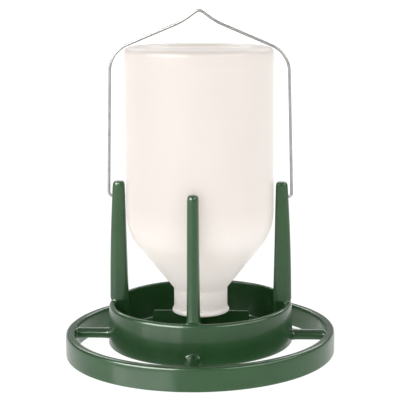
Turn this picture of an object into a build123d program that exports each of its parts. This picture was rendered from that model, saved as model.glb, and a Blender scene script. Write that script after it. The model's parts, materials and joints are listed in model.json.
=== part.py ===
from build123d import *
import os
from math import cos, radians, sin, tan

# Gravity-fed poultry waterer: an inverted bottle stands mouth down in a dish,
# between four posts, inside a perch ring, and a wire bail hangs it all up.
# Millimetres, +Z up, origin on the floor under the dish's centre.
# The bail swings about the X axis, and the posts and spokes lie on X and Y.

# Perch ring: an upside-down channel that the waterer stands on
ring_r = 100.0
ring_height = 17.2
ring_inner_top_r = 93.4
ring_inner_foot_r = 93.0
ring_outer_edge = 2.4
ring_inner_edge = 2.2
ring_wall = 2.2
ring_roof = 2.6
ring_draft = 0.3

# Dish: a round cup held clear of the floor, its wall a little wider at the foot
dish_under = 7.6
dish_foot_r = 68.5
dish_lip_r = 68.0
dish_rim = 37.4
dish_mouth_r = 63.8
dish_floor = 10.0
dish_inner_foot_r = 63.2
dish_foot_edge = 1.0
dish_lip_edge = 2.6
dish_mouth_edge = 1.2
dish_floor_edge = 2.5

# Seat: crossed ribs on the dish floor that hold the bottle's mouth up
seat_top = 29.7
seat_half_length = 36.0
seat_rib = 2.0
seat_corner = 1.8

# Spokes between dish and perch ring
spoke_top = 16.0
spoke_under = 8.9
spoke_width = 9.6
spoke_edge = 3.4
spoke_start_r = 65.0
spoke_end_r = 94.4

# Posts: (height, inner radius, outer radius, width) up to the rounded top
post_sections = (
    (dish_rim, 54.0, 67.6, 9.0),
    (83.0, 55.0, 66.9, 8.5),
    (127.7, 55.9, 64.6, 8.0),
)
post_outer_round = 0.47
post_inner_round = 0.24
post_top_edge = 2.4
saddle_height = 1.6

# Bottle: blow-moulded, mouth down
bottle_wall = 1.3
bottle_top = 227.1
bottle_r = 54.4
band_r = 54.8
band_bottom = 213.8
heel_round = 5.0
base_recess = 2.6
base_recess_r = 37.0
stand_r = 41.0
shoulder_z = 90.9
shoulder_round = 39.0
cone_angle = 39.0
neck_r = 19.8
neck_round = 4.0
mouth_z = 30.0
lip_r = 21.2
lip_height = 3.2
bore_r = 18.3

# Bail: round wire, its ends hooked into holes near the tops of two posts
wire_r = 1.1
bail_hole_r = 1.15
pivot_z = 116.6
pin_tip = 57.2
hook_x = 67.7
shoulder_x = 65.4
shoulder_top_z = 222.7
flank_x = 12.7
flank_z = 245.0
peak_z = 254.1
hook_bend = 2.5
bail_corner = 21.0
flank_bend = 50.0
peak_bend = 4.0

sides = {"right": 0, "back": 90, "left": 180, "front": 270}

os.makedirs("parts", exist_ok=True)


def side_plane(angle, height=0.0):
    """Horizontal plane whose X axis points outwards at this angle."""
    outwards = (cos(radians(angle)), sin(radians(angle)), 0)
    return Plane(origin=(0, 0, height), x_dir=outwards, z_dir=(0, 0, 1))


def post_section(inner, outer, width):
    """Post cross-section: nearly half round outside, softer corners inside."""
    with Locations(((inner + outer) / 2, 0)):
        outline = Rectangle(outer - inner, width)
    corners = outline.vertices().group_by(Axis.X)
    fillet(corners[-1], post_outer_round * width)
    fillet(corners[0], post_inner_round * width)


# Perch ring
with BuildPart() as perch_ring:
    with BuildSketch(Plane.XZ):
        with BuildLine():
            FilletPolyline(
                (ring_r, 0),
                (ring_r, ring_height),
                (ring_inner_top_r, ring_height),
                (ring_inner_foot_r, 0),
                radius=[ring_outer_edge, ring_inner_edge],
            )
            channel_in = ring_inner_foot_r + ring_wall
            channel_out = ring_r - ring_wall
            channel_top = ring_height - ring_roof
            Polyline(
                (ring_inner_foot_r, 0),
                (channel_in, 0),
                (channel_in + ring_draft, channel_top),
                (channel_out - ring_draft, channel_top),
                (channel_out, 0),
                (ring_r, 0),
            )
        make_face()
    revolve(axis=Axis.Z)
perch_ring.part.label = "perch_ring"
export_step(perch_ring.part, "parts/perch_ring.step")

# Dish
with BuildPart() as dish:
    with BuildSketch(Plane.XZ):
        with BuildLine():
            FilletPolyline(
                (0, dish_under),
                (dish_foot_r, dish_under),
                (dish_lip_r, dish_rim),
                (dish_mouth_r, dish_rim),
                (dish_inner_foot_r, dish_floor),
                (0, dish_floor),
                radius=[dish_foot_edge, dish_lip_edge, dish_mouth_edge, dish_floor_edge],
            )
            Line((0, dish_floor), (0, dish_under))
        make_face()
    revolve(axis=Axis.Z)
dish.part.label = "dish"
export_step(dish.part, "parts/dish.step")

# Seat ribs: one along X and one along Y, crossing at the centre
with BuildPart() as seat_cross:
    for upright in (Plane.XZ, Plane.YZ):
        with BuildSketch(upright):
            rib_height = seat_top - dish_floor
            with Locations((0, dish_floor + rib_height / 2)):
                rib = Rectangle(2 * seat_half_length, rib_height)
            fillet(rib.vertices().group_by(Axis.Y)[-1], seat_corner)
        extrude(amount=seat_rib / 2, both=True)
seat_cross.part.label = "seat_cross"
export_step(seat_cross.part, "parts/seat_cross.step")

# Spokes, each ending flush on the dish wall and on the ring's inner face
for side, angle in sides.items():
    with BuildPart() as spoke:
        length = spoke_end_r - spoke_start_r
        with BuildSketch(side_plane(angle, spoke_under)):
            with Locations((spoke_start_r + length / 2, 0)):
                Rectangle(length, spoke_width)
        extrude(amount=spoke_top - spoke_under)
        crown = spoke.faces().sort_by(Axis.Z)[-1]
        fillet(crown.edges().sort_by(SortBy.LENGTH)[-2:], spoke_edge)
        add(dish.part, mode=Mode.SUBTRACT)
        add(perch_ring.part, mode=Mode.SUBTRACT)
    spoke.part.label = f"spoke_{side}"
    export_step(spoke.part, f"parts/spoke_{side}.step")

# Posts: each stands on the dish floor against the wall, and rises over the rim
for side, angle in sides.items():
    with BuildPart() as post:
        rim_z, foot_inner, foot_outer, foot_width = post_sections[0]
        with BuildSketch(side_plane(angle, dish_floor)):
            post_section(foot_inner, foot_outer, foot_width)
        extrude(amount=rim_z - dish_floor)
        for height, inner, outer, width in post_sections:
            with BuildSketch(side_plane(angle, height)):
                post_section(inner, outer, width)
        loft()
        fillet(post.faces().sort_by(Axis.Z)[-1].edges(), post_top_edge)
        with BuildSketch():
            Circle(dish_lip_r + ring_wall)
            Circle((dish_mouth_r + dish_foot_r) / 2, mode=Mode.SUBTRACT)
        extrude(amount=dish_rim - saddle_height, mode=Mode.SUBTRACT)
        add(dish.part, mode=Mode.SUBTRACT)
        if side in ("left", "right"):
            with BuildSketch(Plane.YZ):
                with Locations((0, pivot_z)):
                    Circle(bail_hole_r)
            extrude(amount=dish_lip_r, both=True, mode=Mode.SUBTRACT)
    post.part.label = f"post_{side}"
    export_step(post.part, f"parts/post_{side}.step")


def bottle_corner(radius, height, inset):
    """Corner between an upright wall and the cone, moved in by the wall."""
    return (radius - inset, height + inset * tan(radians(cone_angle / 2)))


# Bottle
with BuildPart() as bottle:
    cone_bottom = shoulder_z - (bottle_r - neck_r) / tan(radians(cone_angle))
    with BuildSketch(Plane.XZ):
        with BuildLine():
            FilletPolyline(
                (0, bottle_top - base_recess),
                (base_recess_r, bottle_top - base_recess),
                (stand_r, bottle_top),
                (band_r, bottle_top),
                (band_r, band_bottom),
                (bottle_r, band_bottom - 1.5),
                bottle_corner(bottle_r, shoulder_z, 0),
                bottle_corner(neck_r, cone_bottom, 0),
                (neck_r, mouth_z + lip_height),
                (lip_r, mouth_z + lip_height / 2),
                (lip_r, mouth_z),
                (bore_r, mouth_z),
                bottle_corner(bore_r + bottle_wall, cone_bottom, bottle_wall),
                bottle_corner(bottle_r, shoulder_z, bottle_wall),
                (bottle_r - bottle_wall, bottle_top - bottle_wall),
                (stand_r - bottle_wall, bottle_top - bottle_wall),
                (base_recess_r, bottle_top - base_recess - bottle_wall),
                (0, bottle_top - base_recess - bottle_wall),
                radius=[
                    2.0, 2.0, heel_round, 0.8, 0.8, shoulder_round, neck_round, 1.2, 0.9,
                    0.9, 0.6, neck_round + bottle_wall, shoulder_round - bottle_wall,
                    heel_round - bottle_wall, 1.5, 1.5,
                ],
            )
            Line((0, bottle_top - base_recess - bottle_wall), (0, bottle_top - base_recess))
        make_face()
    revolve(axis=Axis.Z)
bottle.part.label = "bottle"
export_step(bottle.part, "parts/bottle.step")

# Bail
with BuildPart() as bail:
    with BuildLine(Plane.XZ) as bail_path:
        FilletPolyline(
            (-pin_tip, pivot_z),
            (-hook_x, pivot_z),
            (-shoulder_x, shoulder_top_z),
            (-flank_x, flank_z),
            (0, peak_z),
            (flank_x, flank_z),
            (shoulder_x, shoulder_top_z),
            (hook_x, pivot_z),
            (pin_tip, pivot_z),
            radius=[
                hook_bend, bail_corner, flank_bend, peak_bend,
                flank_bend, bail_corner, hook_bend,
            ],
        )
    wire = bail_path.wires()[0]
    with BuildSketch(Plane(origin=wire @ 0, z_dir=wire % 0)):
        Circle(wire_r)
    sweep(path=wire)
bail.part.label = "bail"
export_step(bail.part, "parts/bail.step")
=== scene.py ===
import json
import math

import bmesh
import bpy
from mathutils import Matrix, Vector


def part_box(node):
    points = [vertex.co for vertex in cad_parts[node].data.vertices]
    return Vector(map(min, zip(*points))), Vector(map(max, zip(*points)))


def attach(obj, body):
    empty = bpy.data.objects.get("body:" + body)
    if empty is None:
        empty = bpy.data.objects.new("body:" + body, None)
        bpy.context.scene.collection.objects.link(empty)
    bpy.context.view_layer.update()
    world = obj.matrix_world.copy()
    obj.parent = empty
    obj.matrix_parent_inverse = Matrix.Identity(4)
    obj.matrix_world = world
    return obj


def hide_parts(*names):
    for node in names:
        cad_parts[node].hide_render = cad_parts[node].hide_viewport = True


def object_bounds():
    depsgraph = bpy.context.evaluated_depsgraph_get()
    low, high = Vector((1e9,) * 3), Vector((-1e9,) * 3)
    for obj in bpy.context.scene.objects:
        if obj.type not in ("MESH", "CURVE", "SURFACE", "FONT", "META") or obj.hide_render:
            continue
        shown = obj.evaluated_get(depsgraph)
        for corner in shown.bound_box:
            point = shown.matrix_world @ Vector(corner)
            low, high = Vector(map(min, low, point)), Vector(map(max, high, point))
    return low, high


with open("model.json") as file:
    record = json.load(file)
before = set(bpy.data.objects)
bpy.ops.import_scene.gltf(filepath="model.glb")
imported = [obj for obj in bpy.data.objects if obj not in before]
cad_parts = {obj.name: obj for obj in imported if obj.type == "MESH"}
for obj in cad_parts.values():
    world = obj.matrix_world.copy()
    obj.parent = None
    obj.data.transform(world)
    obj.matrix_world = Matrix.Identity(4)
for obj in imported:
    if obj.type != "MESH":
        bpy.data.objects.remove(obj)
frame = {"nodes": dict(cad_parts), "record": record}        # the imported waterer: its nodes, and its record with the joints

# Looks of a gravity-fed poultry waterer: a green moulded base with four posts and a
# perch ring, a milky bottle standing mouth down in it, and a galvanised wire bail.
# Outlines below are in millimetres. Overall heights and radii come from the frame, and the
# numbers written out repeat or smooth the CAD's own dimensions. Objects are in metres.

MM = 0.001
cad_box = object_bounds()


def span(node):
    """A node's lowest and highest corner, in millimetres."""
    low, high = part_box(node)
    return low / MM, high / MM


_, ring_high = span("perch_ring")
dish_low, dish_high = span("dish")
post_low, post_high = span("post_right")
spoke_low, spoke_high = span("spoke_right")
bottle_low, bottle_high = span("bottle")
_, bail_high = span("bail")
joints = {joint["name"]: joint for joint in frame["record"]["behaviour"]["joints"]}
pivot = joints["bail_swing"]["pos_m"]
centre = (cad_box[0] + cad_box[1]) / 2

QUARTERS = [math.radians(90 * k) for k in range(4)]


# ---------------------------------------------------------------- mesh helpers

def new_object(name, mesh):
    piece = bpy.data.objects.new(name, mesh)
    bpy.context.scene.collection.objects.link(piece)
    return piece


def finish_mesh(bm, name, levels):
    """Turns a cage into a smooth object, subdivided and with nothing left to apply."""
    loose = [v for v in bm.verts if not v.link_faces]
    bmesh.ops.delete(bm, geom=loose, context="VERTS")
    bmesh.ops.recalc_face_normals(bm, faces=bm.faces)
    mesh = bpy.data.meshes.new(name)
    bm.to_mesh(mesh)
    bm.free()
    piece = new_object(name, mesh)
    if levels:
        subdivision = piece.modifiers.new("subdivision", "SUBSURF")
        subdivision.levels = subdivision.render_levels = levels
        apply_modifiers(piece)
    for face in piece.data.polygons:
        face.use_smooth = True
    return piece


def apply_modifiers(piece):
    graph = bpy.context.evaluated_depsgraph_get()
    graph.update()
    done = bpy.data.meshes.new_from_object(piece.evaluated_get(graph))
    piece.modifiers.clear()
    piece.data = done


def bridge(bm, loop_a, loop_b, closed=True):
    """Quads between two rows of vertices of the same length."""
    count = len(loop_a)
    for i in range(count if closed else count - 1):
        j = (i + 1) % count
        bm.faces.new((loop_a[i], loop_a[j], loop_b[j], loop_b[i]))


def out_from(angle, radius, aside, height):
    """A point at this distance out along a side's direction, and aside from it."""
    x = radius * math.cos(angle) - aside * math.sin(angle)
    y = radius * math.sin(angle) + aside * math.cos(angle)
    return Vector((x, y, height)) * MM


# ---------------------------------------------------------------- base moulding
# One subdivision cage: a polar grid for the dish and one for the ring, with a hole
# left beside each axis where a post or a spoke grows out of the grid.

NEAR = (-8.0, -5.3, -2.4, 0.0, 2.4, 5.3, 8.0)    # columns beside each axis
HOLE = range(1, 6)                               # the columns that bound a hole
BETWEEN = 9                                      # columns from one axis to the next
BLOCK = len(NEAR) + BETWEEN
CLOSEST = 50.0                                   # inside this the columns run radially


def column_angles(radius):
    near = [math.asin(t / max(radius, CLOSEST)) for t in NEAR]
    gap = (math.radians(90) - 2 * near[-1]) / (BETWEEN + 1)
    angles = []
    for quarter in QUARTERS:
        angles += [quarter + a for a in near]
        angles += [quarter + near[-1] + gap * (i + 1) for i in range(BETWEEN)]
    return angles


def swell(angles, i):
    """How far a cage point stands out so that the smoothed circle keeps its radius."""
    before = angles[i] - angles[i - 1]
    after = angles[(i + 1) % len(angles)] - angles[i]
    return 1 / (1 - (2 - math.cos(before) - math.cos(after)) / 6)


def polar_grid(bm, rows):
    table = []
    for radius, height in rows:
        angles = column_angles(radius)
        table.append([
            bm.verts.new(out_from(a, radius * swell(angles, i), 0, height))
            for i, a in enumerate(angles)
        ])
    return table


def skin(bm, table, closed, holes):
    """Faces between the grid's rows, apart from those inside the holes."""
    count = len(table)
    for r in range(count if closed else count - 1):
        lower, upper = table[r], table[(r + 1) % count]
        for c in range(len(lower)):
            in_hole = c % BLOCK in HOLE[:-1] and any(r in rows for rows in holes)
            if not in_hole:
                d = (c + 1) % len(lower)
                bm.faces.new((lower[c], lower[d], upper[d], upper[c]))


def dish_rows():
    under, rim, foot = dish_low.z, dish_high.z, dish_high.x
    floor, lip = under + 2.4, foot - 0.5
    return [
        (10, under), (40, under), (foot - 3.0, under), (foot - 0.9, under),
        (foot, under + 0.5), (foot, under + 1.4), (foot - 0.05, under + 4.9),
        (foot - 0.15, under + 8.4), (foot - 0.2, under + 11.5), (lip + 0.2, rim - 12.0),
        (lip + 0.1, rim - 7.0), (lip + 0.05, rim - 4.6), (lip + 0.04, rim - 3.1),
        (lip - 0.1, rim - 1.7), (lip - 0.85, rim - 0.45), (lip - 2.1, rim + 0.05),
        (lip - 3.2, rim + 0.03), (lip - 3.95, rim - 0.3), (lip - 4.25, rim - 1.6),
        (lip - 4.3, rim - 7.4), (lip - 4.5, rim - 17.4), (lip - 4.7, floor + 3.5),
        (lip - 5.2, floor + 1.0), (lip - 6.6, floor + 0.05), (52.0, floor), (30, floor),
        (10, floor),
    ]


DISH_SPOKE_HOLE = range(5, 7)       # rows that a spoke's root lies between
DISH_POST_HOLE = range(15, 24)      # rows from the top of the lip down to the floor


SKIN_GAP = 0.01                     # keeps the smoothed ring inside the CAD ring's outline
CHANNEL_ROOF = 2.69                 # thickness of the ring's top over the channel


def ring_rows():
    out, top = ring_high.x - SKIN_GAP, ring_high.z - SKIN_GAP
    roof = top - CHANNEL_ROOF
    return [
        (out - 0.25, 0), (out, 0.6), (out, 5), (out, top - 5.0),
        (out - 0.03, top - 2.3), (out - 0.65, top - 0.65), (out - 2.3, top),
        (out - 4.6, top), (out - 6.05, top - 0.5), (out - 6.55, top - 2.0),
        (out - 6.65, top - 5.2), (out - 6.75, top - 8.8), (out - 6.95, 4), (out - 7.0, 0.6),
        (out - 6.75, 0), (out - 5.1, 0), (out - 4.8, 0.5), (out - 4.75, 4),
        (out - 4.55, roof - 1.3), (out - 4.2, roof), (out - 2.8, roof), (out - 2.45, roof - 1.3),
        (out - 2.25, 4), (out - 2.2, 0.5), (out - 1.9, 0),
    ]


RING_SPOKE_HOLE = range(9, 11)


def hole_loop(table, quarter, low, middle, high):
    """The twelve vertices round a spoke's hole, along the bottom and back over the top."""
    first = quarter * BLOCK
    columns = [first + c for c in HOLE]
    return (
        [table[low][c] for c in columns] + [table[middle][columns[-1]]]
        + [table[high][c] for c in reversed(columns)] + [table[middle][columns[0]]]
    )


CROWN_WIDTH = 0.94                  # width of a spoke's top against that of its underside
SPOKE_STATIONS = ((68.8, 0.45), (70.4, 0.0), (79.0, 0.0), (89.8, 0.0), (92.2, 0.3))    # radius, flare


def spoke_loop(bm, angle, radius, flare):
    """Cross-section of a spoke: flat underside and a rounded top, a little narrower."""
    half = spoke_high.y + flare
    low, high = spoke_low.z - flare, spoke_high.z + flare
    middle = (low + high) / 2
    across = (-1.0, -0.5, 0.0, 0.5, 1.0)
    crown = (2.4, 0.5, -0.1, 0.5, 2.4)
    points = [(t * half, low) for t in across] + [(half, middle)]
    points += [(-t * half * CROWN_WIDTH, high - drop) for t, drop in zip(across, crown)]
    points += [(-half, middle)]
    return [bm.verts.new(out_from(angle, radius, t, z)) for t, z in points]


def add_spoke(bm, quarter, dish, ring):
    loops = [hole_loop(dish, quarter, 5, 6, 7)]
    for radius, flare in SPOKE_STATIONS:
        loops.append(spoke_loop(bm, QUARTERS[quarter], radius, flare))
    loops.append(hole_loop(ring, quarter, 11, 10, 9))
    for loop_a, loop_b in zip(loops, loops[1:]):
        bridge(bm, loop_a, loop_b)


# A post's sections: height, inner radius, outer radius, half width
POST_SHAPE = ((37.4, 54.0, 67.7, 4.5), (83.0, 55.0, 66.9, 4.25), (127.7, 55.9, 64.6, 4.0))
POST_ROUND = 0.94                   # depth of the round outer face against the half width


def post_size(height):
    """Inner radius, outer radius and half width of a post, on a curve through its sections."""
    sizes = [0.0, 0.0, 0.0]
    for section in POST_SHAPE:
        weight = 1.0
        for other in POST_SHAPE:
            if other is not section:
                weight *= (height - other[0]) / (section[0] - other[0])
        sizes = [s + weight * v for s, v in zip(sizes, section[1:])]
    return sizes


def post_inside(inner, outer, half):
    """The post's sides and inner face, from one end to the other."""
    one_side = [
        (inner + 0.5 * (outer - inner), half), (inner + 0.25 * half, half),
        (inner, 0.66 * half),
    ]
    return [(r, -t) for r, t in one_side] + [(inner, 0.0)] + one_side[::-1]


def post_outside(inner, outer, half):
    """The post's nearly half-round outer face, from one side to the other."""
    depth = POST_ROUND * half
    points = []
    for turn in (8, 32, 55, 74, 90, 106, 125, 148, 172):
        along = math.radians(turn)
        points.append((outer - depth + depth * 1.02 * math.sin(along), half * math.cos(along)))
    return points


def post_loop(bm, angle, height, inset=0.0, flare=0.0):
    inner, outer, half = post_size(max(height, POST_SHAPE[0][0]))
    inner, outer, half = inner + inset, outer - inset, half - inset + flare
    end = outer - POST_ROUND * half - 1.6
    points = [(end, -half)] + post_inside(inner, outer, half) + [(end, half)]
    points += post_outside(inner, outer, half)
    return [bm.verts.new(out_from(angle, r, t, height)) for r, t in points]


def add_post(bm, quarter, dish):
    """A post, from its foot on the dish floor, over the lip, to its rounded top."""
    angle = QUARTERS[quarter]
    column = [quarter * BLOCK + c for c in HOLE]
    first, last = column[0], column[-1]
    strip = [dish[22][first], dish[23][first]] + [dish[24][c] for c in column]
    strip += [dish[23][last], dish[22][last]]
    inner, outer, half = post_size(POST_SHAPE[0][0])
    for row, height in ((21, dish_low.z + 5.3), (20, 20.0), (19, 30.0), (18, 36.2)):
        inside = [
            bm.verts.new(out_from(angle, r, t, height))
            for r, t in post_inside(inner, outer, half)
        ]
        above = [dish[row][first]] + inside + [dish[row][last]]
        bridge(bm, strip, above, closed=False)
        strip = above
    lip = [dish[17][last], dish[16][last]] + [dish[15][c] for c in reversed(column)]
    lip += [dish[16][first], dish[17][first]]
    loop = strip + lip
    top = post_high.z
    levels = (                      # height, inset, flare
        (38.5, 0.0, 0.6), (40.2, 0.0, 0.1), (60.0, 0.0, 0.0), (83.0, 0.0, 0.0),
        (105.0, 0.0, 0.0), (top - 5.5, 0.0, 0.0), (top - 2.2, 0.0, 0.0),
        (top - 0.5, 0.7, 0.0), (top + 0.02, 2.0, 0.0),
    )
    for height, inset, flare in levels:
        above = post_loop(bm, angle, height, inset, flare)
        bridge(bm, loop, above)
        loop = above
    inner_half, outer_half = loop[:9], loop[9:]
    bm.faces.new((inner_half[3], inner_half[4], inner_half[5]))
    for i in range(3):
        bm.faces.new((inner_half[i], inner_half[i + 1], inner_half[7 - i], inner_half[8 - i]))
    bm.faces.new((inner_half[0], inner_half[8], outer_half[0], outer_half[8]))
    for i in range(3):
        bm.faces.new((outer_half[i], outer_half[i + 1], outer_half[7 - i], outer_half[8 - i]))
    bm.faces.new((outer_half[3], outer_half[4], outer_half[5]))


BAIL_HOLE_RADIUS = 1.2
DRILL_LENGTH = 20.0


def bore_bail_holes(piece, radius):
    """Cuts the two holes that the bail's ends turn in, straight through their posts."""
    bm = bmesh.new()
    along_x = Matrix.Rotation(math.radians(90), 4, "Y")
    for side in (-1, 1):
        middle = (post_low.x + post_high.x) / 2 * MM * side
        place = Matrix.Translation((middle, pivot[1], pivot[2])) @ along_x
        bmesh.ops.create_cone(
            bm, cap_ends=True, segments=32, radius1=radius * MM, radius2=radius * MM,
            depth=DRILL_LENGTH * MM, matrix=place,
        )
    mesh = bpy.data.meshes.new("bores")
    bm.to_mesh(mesh)
    bm.free()
    drill = new_object("bores", mesh)
    cut = piece.modifiers.new("bores", "BOOLEAN")
    cut.operation = "DIFFERENCE"
    cut.object = drill
    cut.solver = "EXACT"
    apply_modifiers(piece)
    bpy.data.objects.remove(drill)


def make_base():
    bm = bmesh.new()
    dish = polar_grid(bm, dish_rows())
    ring = polar_grid(bm, ring_rows())
    skin(bm, dish, False, (DISH_SPOKE_HOLE, DISH_POST_HOLE))
    skin(bm, ring, True, (RING_SPOKE_HOLE,))
    for end_row in (dish[0], dish[-1]):
        bm.faces.new(end_row)
    for quarter in range(4):
        add_spoke(bm, quarter, dish, ring)
        add_post(bm, quarter, dish)
    piece = finish_mesh(bm, "base_moulding", 2)
    bore_bail_holes(piece, BAIL_HOLE_RADIUS)
    return piece


# ---------------------------------------------------------------- bottle

def arc(centre_rz, radius, start, end, steps):
    """Points on a round corner, angles in degrees from the outward direction."""
    points = []
    for i in range(steps + 1):
        a = math.radians(start + (end - start) * i / steps)
        points.append((centre_rz[0] + radius * math.cos(a), centre_rz[1] + radius * math.sin(a)))
    return points


CONE = math.radians(39)             # the cone's slope away from upright
CONE_TOP, CONE_FOOT = 90.9, 48.2    # heights where the cone would meet the body and the neck
BOTTLE_WALL = 1.3


def bottle_rows(inset):
    """Outline from the neck to the middle of the base, moved in by the wall."""
    top = bottle_high.z - inset
    body = 54.4 - inset
    heel = 5.0 - inset
    shoulder = 39.0 - inset
    neck = 19.8 - inset
    neck_bend = 4.0 + inset
    shoulder_z = CONE_TOP + (inset + shoulder) * math.tan(CONE / 2)
    neck_z = CONE_FOOT + (inset - neck_bend) * math.tan(CONE / 2)
    rows = [(neck, neck_z - 8)]
    rows += arc((neck + neck_bend, neck_z), neck_bend, 180, 180 - math.degrees(CONE), 4)
    rows += arc((body - shoulder, shoulder_z), shoulder, -math.degrees(CONE), 0, 8)
    band = 54.8 - inset
    rows += [(body, 140), (body, 180), (body, 205), (body, 212.3), (band, 213.9), (band, 216)]
    rows += arc((band - heel, top - heel), heel, 0, 90, 6)
    rows += [(42.0, top), (40.2, top - 0.35), (38.0, top - 2.2), (36.4, top - 2.6), (18, top - 2.6)]
    return rows


def revolve(bm, rows, segments):
    """Closed rings of quads. The first and last rows are on the axis side and get a cap."""
    table = [
        [
            bm.verts.new(out_from(2 * math.pi * c / segments, r, 0, z))
            for c in range(segments)
        ]
        for r, z in rows
    ]
    for lower, upper in zip(table, table[1:]):
        bridge(bm, lower, upper)
    bm.faces.new(table[0])
    bm.faces.new(table[-1])


def make_bottle():
    low = bottle_low.z
    outside = bottle_rows(0.0)
    inside = bottle_rows(BOTTLE_WALL)
    lip = [
        (18.35, low + 9), (18.3, low + 1.0), (18.55, low + 0.3), (19.2, low), (20.4, low),
        (20.95, low + 0.25), (21.2, low + 0.8), (21.2, low + 1.5), (20.7, low + 2.3),
        (20.0, low + 3.2), (19.8, low + 4.4),
    ]
    bm = bmesh.new()
    revolve(bm, inside[::-1] + lip + outside, 128)
    return finish_mesh(bm, "bottle_shell", 1)


# ---------------------------------------------------------------- bail

def rounded_path(corners, radii, steps):
    """A path with straight runs and a tangent arc at each inner corner."""
    path = [corners[0]]
    for before, corner, after, radius in zip(corners, corners[1:], corners[2:], radii):
        back, on = (before - corner).normalized(), (after - corner).normalized()
        half = back.angle(on) / 2
        middle = corner + (back + on).normalized() * (radius / math.sin(half))
        start = corner + back * (radius / math.tan(half)) - middle
        end = corner + on * (radius / math.tan(half)) - middle
        opening = start.angle(end)
        for i in range(steps + 1):
            share = i / steps
            blend = start * math.sin((1 - share) * opening) + end * math.sin(share * opening)
            path.append(middle + blend / math.sin(opening))
    return path + [corners[-1]]


# The wire's corners from its tip in the post up to the flank, and the bend at each corner
BAIL_HALF = [(57.2, 116.6), (67.7, 116.6), (65.4, 222.7), (12.7, 245.0)]
BAIL_PEAK = (0.0, 254.1)
BAIL_BENDS = (2.5, 21.0, 50.0, 4.0, 50.0, 21.0, 2.5)
WIRE_FIT = 0.99                     # the wire against its CAD solid, to stay within its outline


def make_bail(radius):
    """Round wire in the plane of the pivot, swept along its bends, with chamfered tips."""
    corners = [(-x, z) for x, z in BAIL_HALF] + [BAIL_PEAK] + BAIL_HALF[::-1]
    corners = [Vector((x, 0, z)) * MM for x, z in corners]
    path = rounded_path(corners, [r * MM for r in BAIL_BENDS], 12)
    tip = [(0.0, 0.72), (0.28 * radius, 1.0)]
    bm = bmesh.new()
    rings = []
    sides = 20
    last = len(path) - 1
    for i, point in enumerate(path):
        along = (path[min(i + 1, last)] - path[max(i - 1, 0)]).normalized()
        across = Vector((0, 1, 0))
        up = along.cross(across)
        ends = tip if i == 0 else [(-d, s) for d, s in tip[::-1]] if i == last else [(0.0, 1.0)]
        for shift, scale in ends:
            rings.append([
                bm.verts.new(point + along * shift + (
                    across * math.cos(2 * math.pi * k / sides) + up * math.sin(2 * math.pi * k / sides)
                ) * radius * scale)
                for k in range(sides)
            ])
    for ring_a, ring_b in zip(rings, rings[1:]):
        bridge(bm, ring_a, ring_b)
    bm.faces.new(rings[0])
    bm.faces.new(rings[-1])
    return finish_mesh(bm, "bail_wire", 0)


# ---------------------------------------------------------------- materials

def new_material(name):
    material = bpy.data.materials.new(name)
    material.use_nodes = True
    nodes, links = material.node_tree.nodes, material.node_tree.links
    return material, nodes, links, nodes["Principled BSDF"]


def object_noise(nodes, links, scale, detail, stretch=(1, 1, 1)):
    """Noise fixed to the object, so it travels with the piece."""
    place = nodes.new("ShaderNodeTexCoord")
    size = nodes.new("ShaderNodeMapping")
    size.inputs["Scale"].default_value = stretch
    noise = nodes.new("ShaderNodeTexNoise")
    noise.inputs["Scale"].default_value = scale
    noise.inputs["Detail"].default_value = detail
    links.new(place.outputs["Object"], size.inputs["Vector"])
    links.new(size.outputs["Vector"], noise.inputs["Vector"])
    return noise.outputs["Fac"]


def ramp(nodes, links, source, low, high, start=0.3, end=0.7):
    """Colour or grey that runs from low to high with the noise."""
    colours = nodes.new("ShaderNodeValToRGB")
    colours.color_ramp.elements[0].position = start
    colours.color_ramp.elements[1].position = end
    colours.color_ramp.elements[0].color = (*low, 1)
    colours.color_ramp.elements[1].color = (*high, 1)
    links.new(source, colours.inputs["Fac"])
    return colours.outputs["Color"]


def add_bump(nodes, links, shader, source, strength, depth):
    bump = nodes.new("ShaderNodeBump")
    bump.inputs["Strength"].default_value = strength
    bump.inputs["Distance"].default_value = depth
    links.new(source, bump.inputs["Height"])
    links.new(bump.outputs["Normal"], shader.inputs["Normal"])


def green_plastic():
    """Glossy dark green polypropylene with faint flow marks and shallow sink marks."""
    material, nodes, links, shader = new_material("green_plastic")
    flow = object_noise(nodes, links, 22, 3, (1, 1, 2.5))
    links.new(ramp(nodes, links, flow, (0.015, 0.078, 0.018), (0.023, 0.098, 0.024)),
              shader.inputs["Base Color"])
    haze = object_noise(nodes, links, 90, 3)
    links.new(ramp(nodes, links, haze, (0.29,) * 3, (0.37,) * 3), shader.inputs["Roughness"])
    ripple = object_noise(nodes, links, 110, 1)
    add_bump(nodes, links, shader, ripple, 0.06, 0.0006)
    shader.inputs["IOR"].default_value = 1.47
    shader.inputs["Specular IOR Level"].default_value = 0.4
    shader.inputs["Coat Weight"].default_value = 0.35
    shader.inputs["Coat Roughness"].default_value = 0.09
    return material


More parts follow.
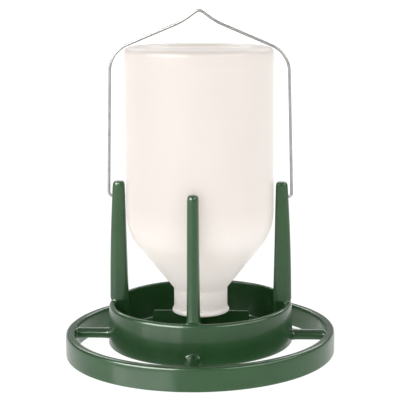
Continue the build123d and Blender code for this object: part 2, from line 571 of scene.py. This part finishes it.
def bottle_plastic():
    """Milky polyethylene, its base colour painted lighter from halfway up down to the mouth, a painted lightening of
    the shade on the cone and neck.

    Some light scatters below the surface, and a small even glow stands for the light that
    would come through the wall from the far side. The skin has a soft sheen.
    """
    material, nodes, links, shader = new_material("bottle_plastic")
    cloud = object_noise(nodes, links, 14, 2, (1, 1, 0.4))
    # Painted light: the lower tone is a lighter base colour that lifts the shade on the cone and neck; the upper tone
    # is the bottle's own milky colour.
    upper_body_tone = ramp(nodes, links, cloud, (0.60, 0.55, 0.51), (0.64, 0.60, 0.565))
    painted_lift_tone = ramp(nodes, links, cloud, (0.88, 0.83, 0.79), (0.92, 0.87, 0.84))
    place = nodes.new("ShaderNodeTexCoord")
    split = nodes.new("ShaderNodeSeparateXYZ")
    links.new(place.outputs["Object"], split.inputs["Vector"])
    share = nodes.new("ShaderNodeMapRange")
    share.inputs["From Min"].default_value = bottle_high.z * MM * 0.5
    share.inputs["From Max"].default_value = bottle_low.z * MM
    links.new(split.outputs["Z"], share.inputs["Value"])
    # Blends in the painted lightening, from none halfway up to full at the mouth.
    wall = nodes.new("ShaderNodeMix")
    wall.data_type = "RGBA"
    factor, upper_body_end, painted_lift_end = [socket for socket in wall.inputs if socket.enabled]
    links.new(share.outputs["Result"], factor)
    links.new(upper_body_tone, upper_body_end)
    links.new(painted_lift_tone, painted_lift_end)
    blend = next(socket for socket in wall.outputs if socket.enabled)
    links.new(blend, shader.inputs["Base Color"])
    skin_grain = object_noise(nodes, links, 420, 3)
    links.new(ramp(nodes, links, skin_grain, (0.34,) * 3, (0.42,) * 3), shader.inputs["Roughness"])
    add_bump(nodes, links, shader, skin_grain, 0.05, 0.0003)
    shader.inputs["Subsurface Weight"].default_value = 0.35
    shader.inputs["Subsurface Radius"].default_value = (1.0, 0.9, 0.8)
    shader.inputs["Subsurface Scale"].default_value = 0.006
    shader.inputs["Emission Color"].default_value = (1.0, 0.94, 0.90, 1)
    shader.inputs["Emission Strength"].default_value = 0.30
    shader.inputs["Specular IOR Level"].default_value = 0.3
    shader.inputs["IOR"].default_value = 1.5
    return material


def galvanised_wire():
    """Zinc over steel, gone a little dull, so that only part of its surface mirrors."""
    material, nodes, links, shader = new_material("galvanised_wire")
    spangle = object_noise(nodes, links, 120, 2)
    links.new(ramp(nodes, links, spangle, (0.36, 0.36, 0.355), (0.44, 0.44, 0.43)),
              shader.inputs["Base Color"])
    links.new(ramp(nodes, links, spangle, (0.27,) * 3, (0.33,) * 3), shader.inputs["Roughness"])
    add_bump(nodes, links, shader, spangle, 0.03, 0.0002)
    shader.inputs["Metallic"].default_value = 0.35
    return material


def paint(piece, material):
    piece.data.materials.clear()
    piece.data.materials.append(material)


# ---------------------------------------------------------------- studio

DOME_TOP, DOME_SIDE, DOME_EDGE = 0.35, 0.12, 0.75    # brightness overhead, all over, at the horizon
FLOOR_GLOW = 0.93
FLOOR_RADIUS = 80.0
FLOOR_DROP = 0.0002                 # the floor lies this far under the object


def add_softbox(name, bearing, height, distance, size, power, only_gloss=False):
    """A softbox that faces the middle of the object.

    Bearing is from the front and height is above the horizon, both in degrees. With
    only_gloss it shows in reflections and leaves the diffuse light alone.
    """
    turn, lift = math.radians(bearing), math.radians(height)
    data = bpy.data.lights.new(name, "AREA")
    data.shape = "RECTANGLE"
    data.size, data.size_y = size
    data.energy = power
    lamp = bpy.data.objects.new(name, data)
    lamp.location = centre + distance * Vector((
        math.cos(lift) * math.sin(turn), -math.cos(lift) * math.cos(turn), math.sin(lift)
    ))
    lamp.rotation_euler = (centre - lamp.location).to_track_quat("-Z", "Y").to_euler()
    lamp.visible_camera = False
    lamp.visible_diffuse = not only_gloss
    bpy.context.scene.collection.objects.link(lamp)


def make_floor():
    bm = bmesh.new()
    bmesh.ops.create_circle(bm, cap_ends=True, radius=FLOOR_RADIUS, segments=64)
    mesh = bpy.data.meshes.new("floor")
    bm.to_mesh(mesh)
    bm.free()
    floor = new_object("floor", mesh)
    floor.location.z = cad_box[0].z - FLOOR_DROP
    material, _, _, shader = new_material("pale_floor")
    shader.inputs["Base Color"].default_value = (0.25, 0.25, 0.25, 1)
    shader.inputs["Emission Color"].default_value = (1, 1, 1, 1)
    shader.inputs["Emission Strength"].default_value = FLOOR_GLOW
    shader.inputs["Roughness"].default_value = 0.16
    paint(floor, material)


def make_world():
    """A soft dome of light: brighter overhead and in a band along the horizon."""
    world = bpy.data.worlds.new("studio")
    world.use_nodes = True
    nodes, links = world.node_tree.nodes, world.node_tree.links
    place = nodes.new("ShaderNodeTexCoord")
    split = nodes.new("ShaderNodeSeparateXYZ")
    links.new(place.outputs["Generated"], split.inputs["Vector"])

    def math_node(operation, *values):
        node = nodes.new("ShaderNodeMath")
        node.operation = operation
        for socket, value in zip(node.inputs, values):
            if isinstance(value, float):
                socket.default_value = value
            else:
                links.new(value, socket)
        return node.outputs["Value"]

    height = split.outputs["Z"]
    overhead = math_node("MULTIPLY_ADD", math_node("MULTIPLY", height, height), DOME_TOP, DOME_SIDE)
    low = math_node("POWER", math_node("SUBTRACT", 1.0, height), 6.0)
    glow = math_node("MULTIPLY_ADD", low, DOME_EDGE, overhead)
    links.new(glow, nodes["Background"].inputs["Strength"])
    nodes["Background"].inputs["Color"].default_value = (1, 1, 1, 1)
    bpy.context.scene.world = world


def make_studio():
    make_floor()
    make_world()
    add_softbox("key", -40, 30, 2.0, (1.0, 0.6), 6.0)
    add_softbox("fill", 50, 30, 2.2, (0.8, 0.6), 4.0)
    add_softbox("key_shine", -46, 28, 2.0, (1.9, 1.2), 115.0, only_gloss=True)
    add_softbox("fill_shine", 62, 34, 2.0, (2.6, 0.8), 35.0, only_gloss=True)
    add_softbox("back_shine", 180, 36, 2.2, (3.0, 0.6), 30.0, only_gloss=True)
    bpy.context.scene.view_settings.view_transform = "Standard"


def make_camera():
    """Stands in front, slightly to the right, a little above the bail's peak, looking down."""
    data = bpy.data.cameras.new("camera")
    data.sensor_width = 36.0
    data.lens = 112.98
    data.shift_x, data.shift_y = -0.2012, -0.1487
    camera = bpy.data.objects.new("camera", data)
    camera.location = (0.0786, -0.9135, 0.2792)
    tilt, turn, roll = math.radians(-7.539), math.radians(1.211), math.radians(0.144)
    camera.rotation_euler = (
        Matrix.Rotation(turn, 4, "Z") @ Matrix.Rotation(math.radians(90) + tilt, 4, "X")
        @ Matrix.Rotation(roll, 4, "Z")
    ).to_euler()
    data.clip_start, data.clip_end = 0.05, 200
    bpy.context.scene.collection.objects.link(camera)
    bpy.context.scene.camera = camera


# ---------------------------------------------------------------- the scene

make_camera()
make_studio()

green = green_plastic()
base = make_base()
paint(base, green)
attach(base, "base")
moulded = ["dish", "perch_ring"]
sides = ("right", "back", "left", "front")
moulded += [f"{part}_{side}" for part in ("post", "spoke") for side in sides]
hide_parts(*moulded)
paint(frame["nodes"]["seat_cross"], green)

bottle = make_bottle()
paint(bottle, bottle_plastic())
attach(bottle, "bottle")
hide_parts("bottle")

bail = make_bail(bail_high.y * MM * WIRE_FIT)
paint(bail, galvanised_wire())
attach(bail, "bail")
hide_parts("bail")
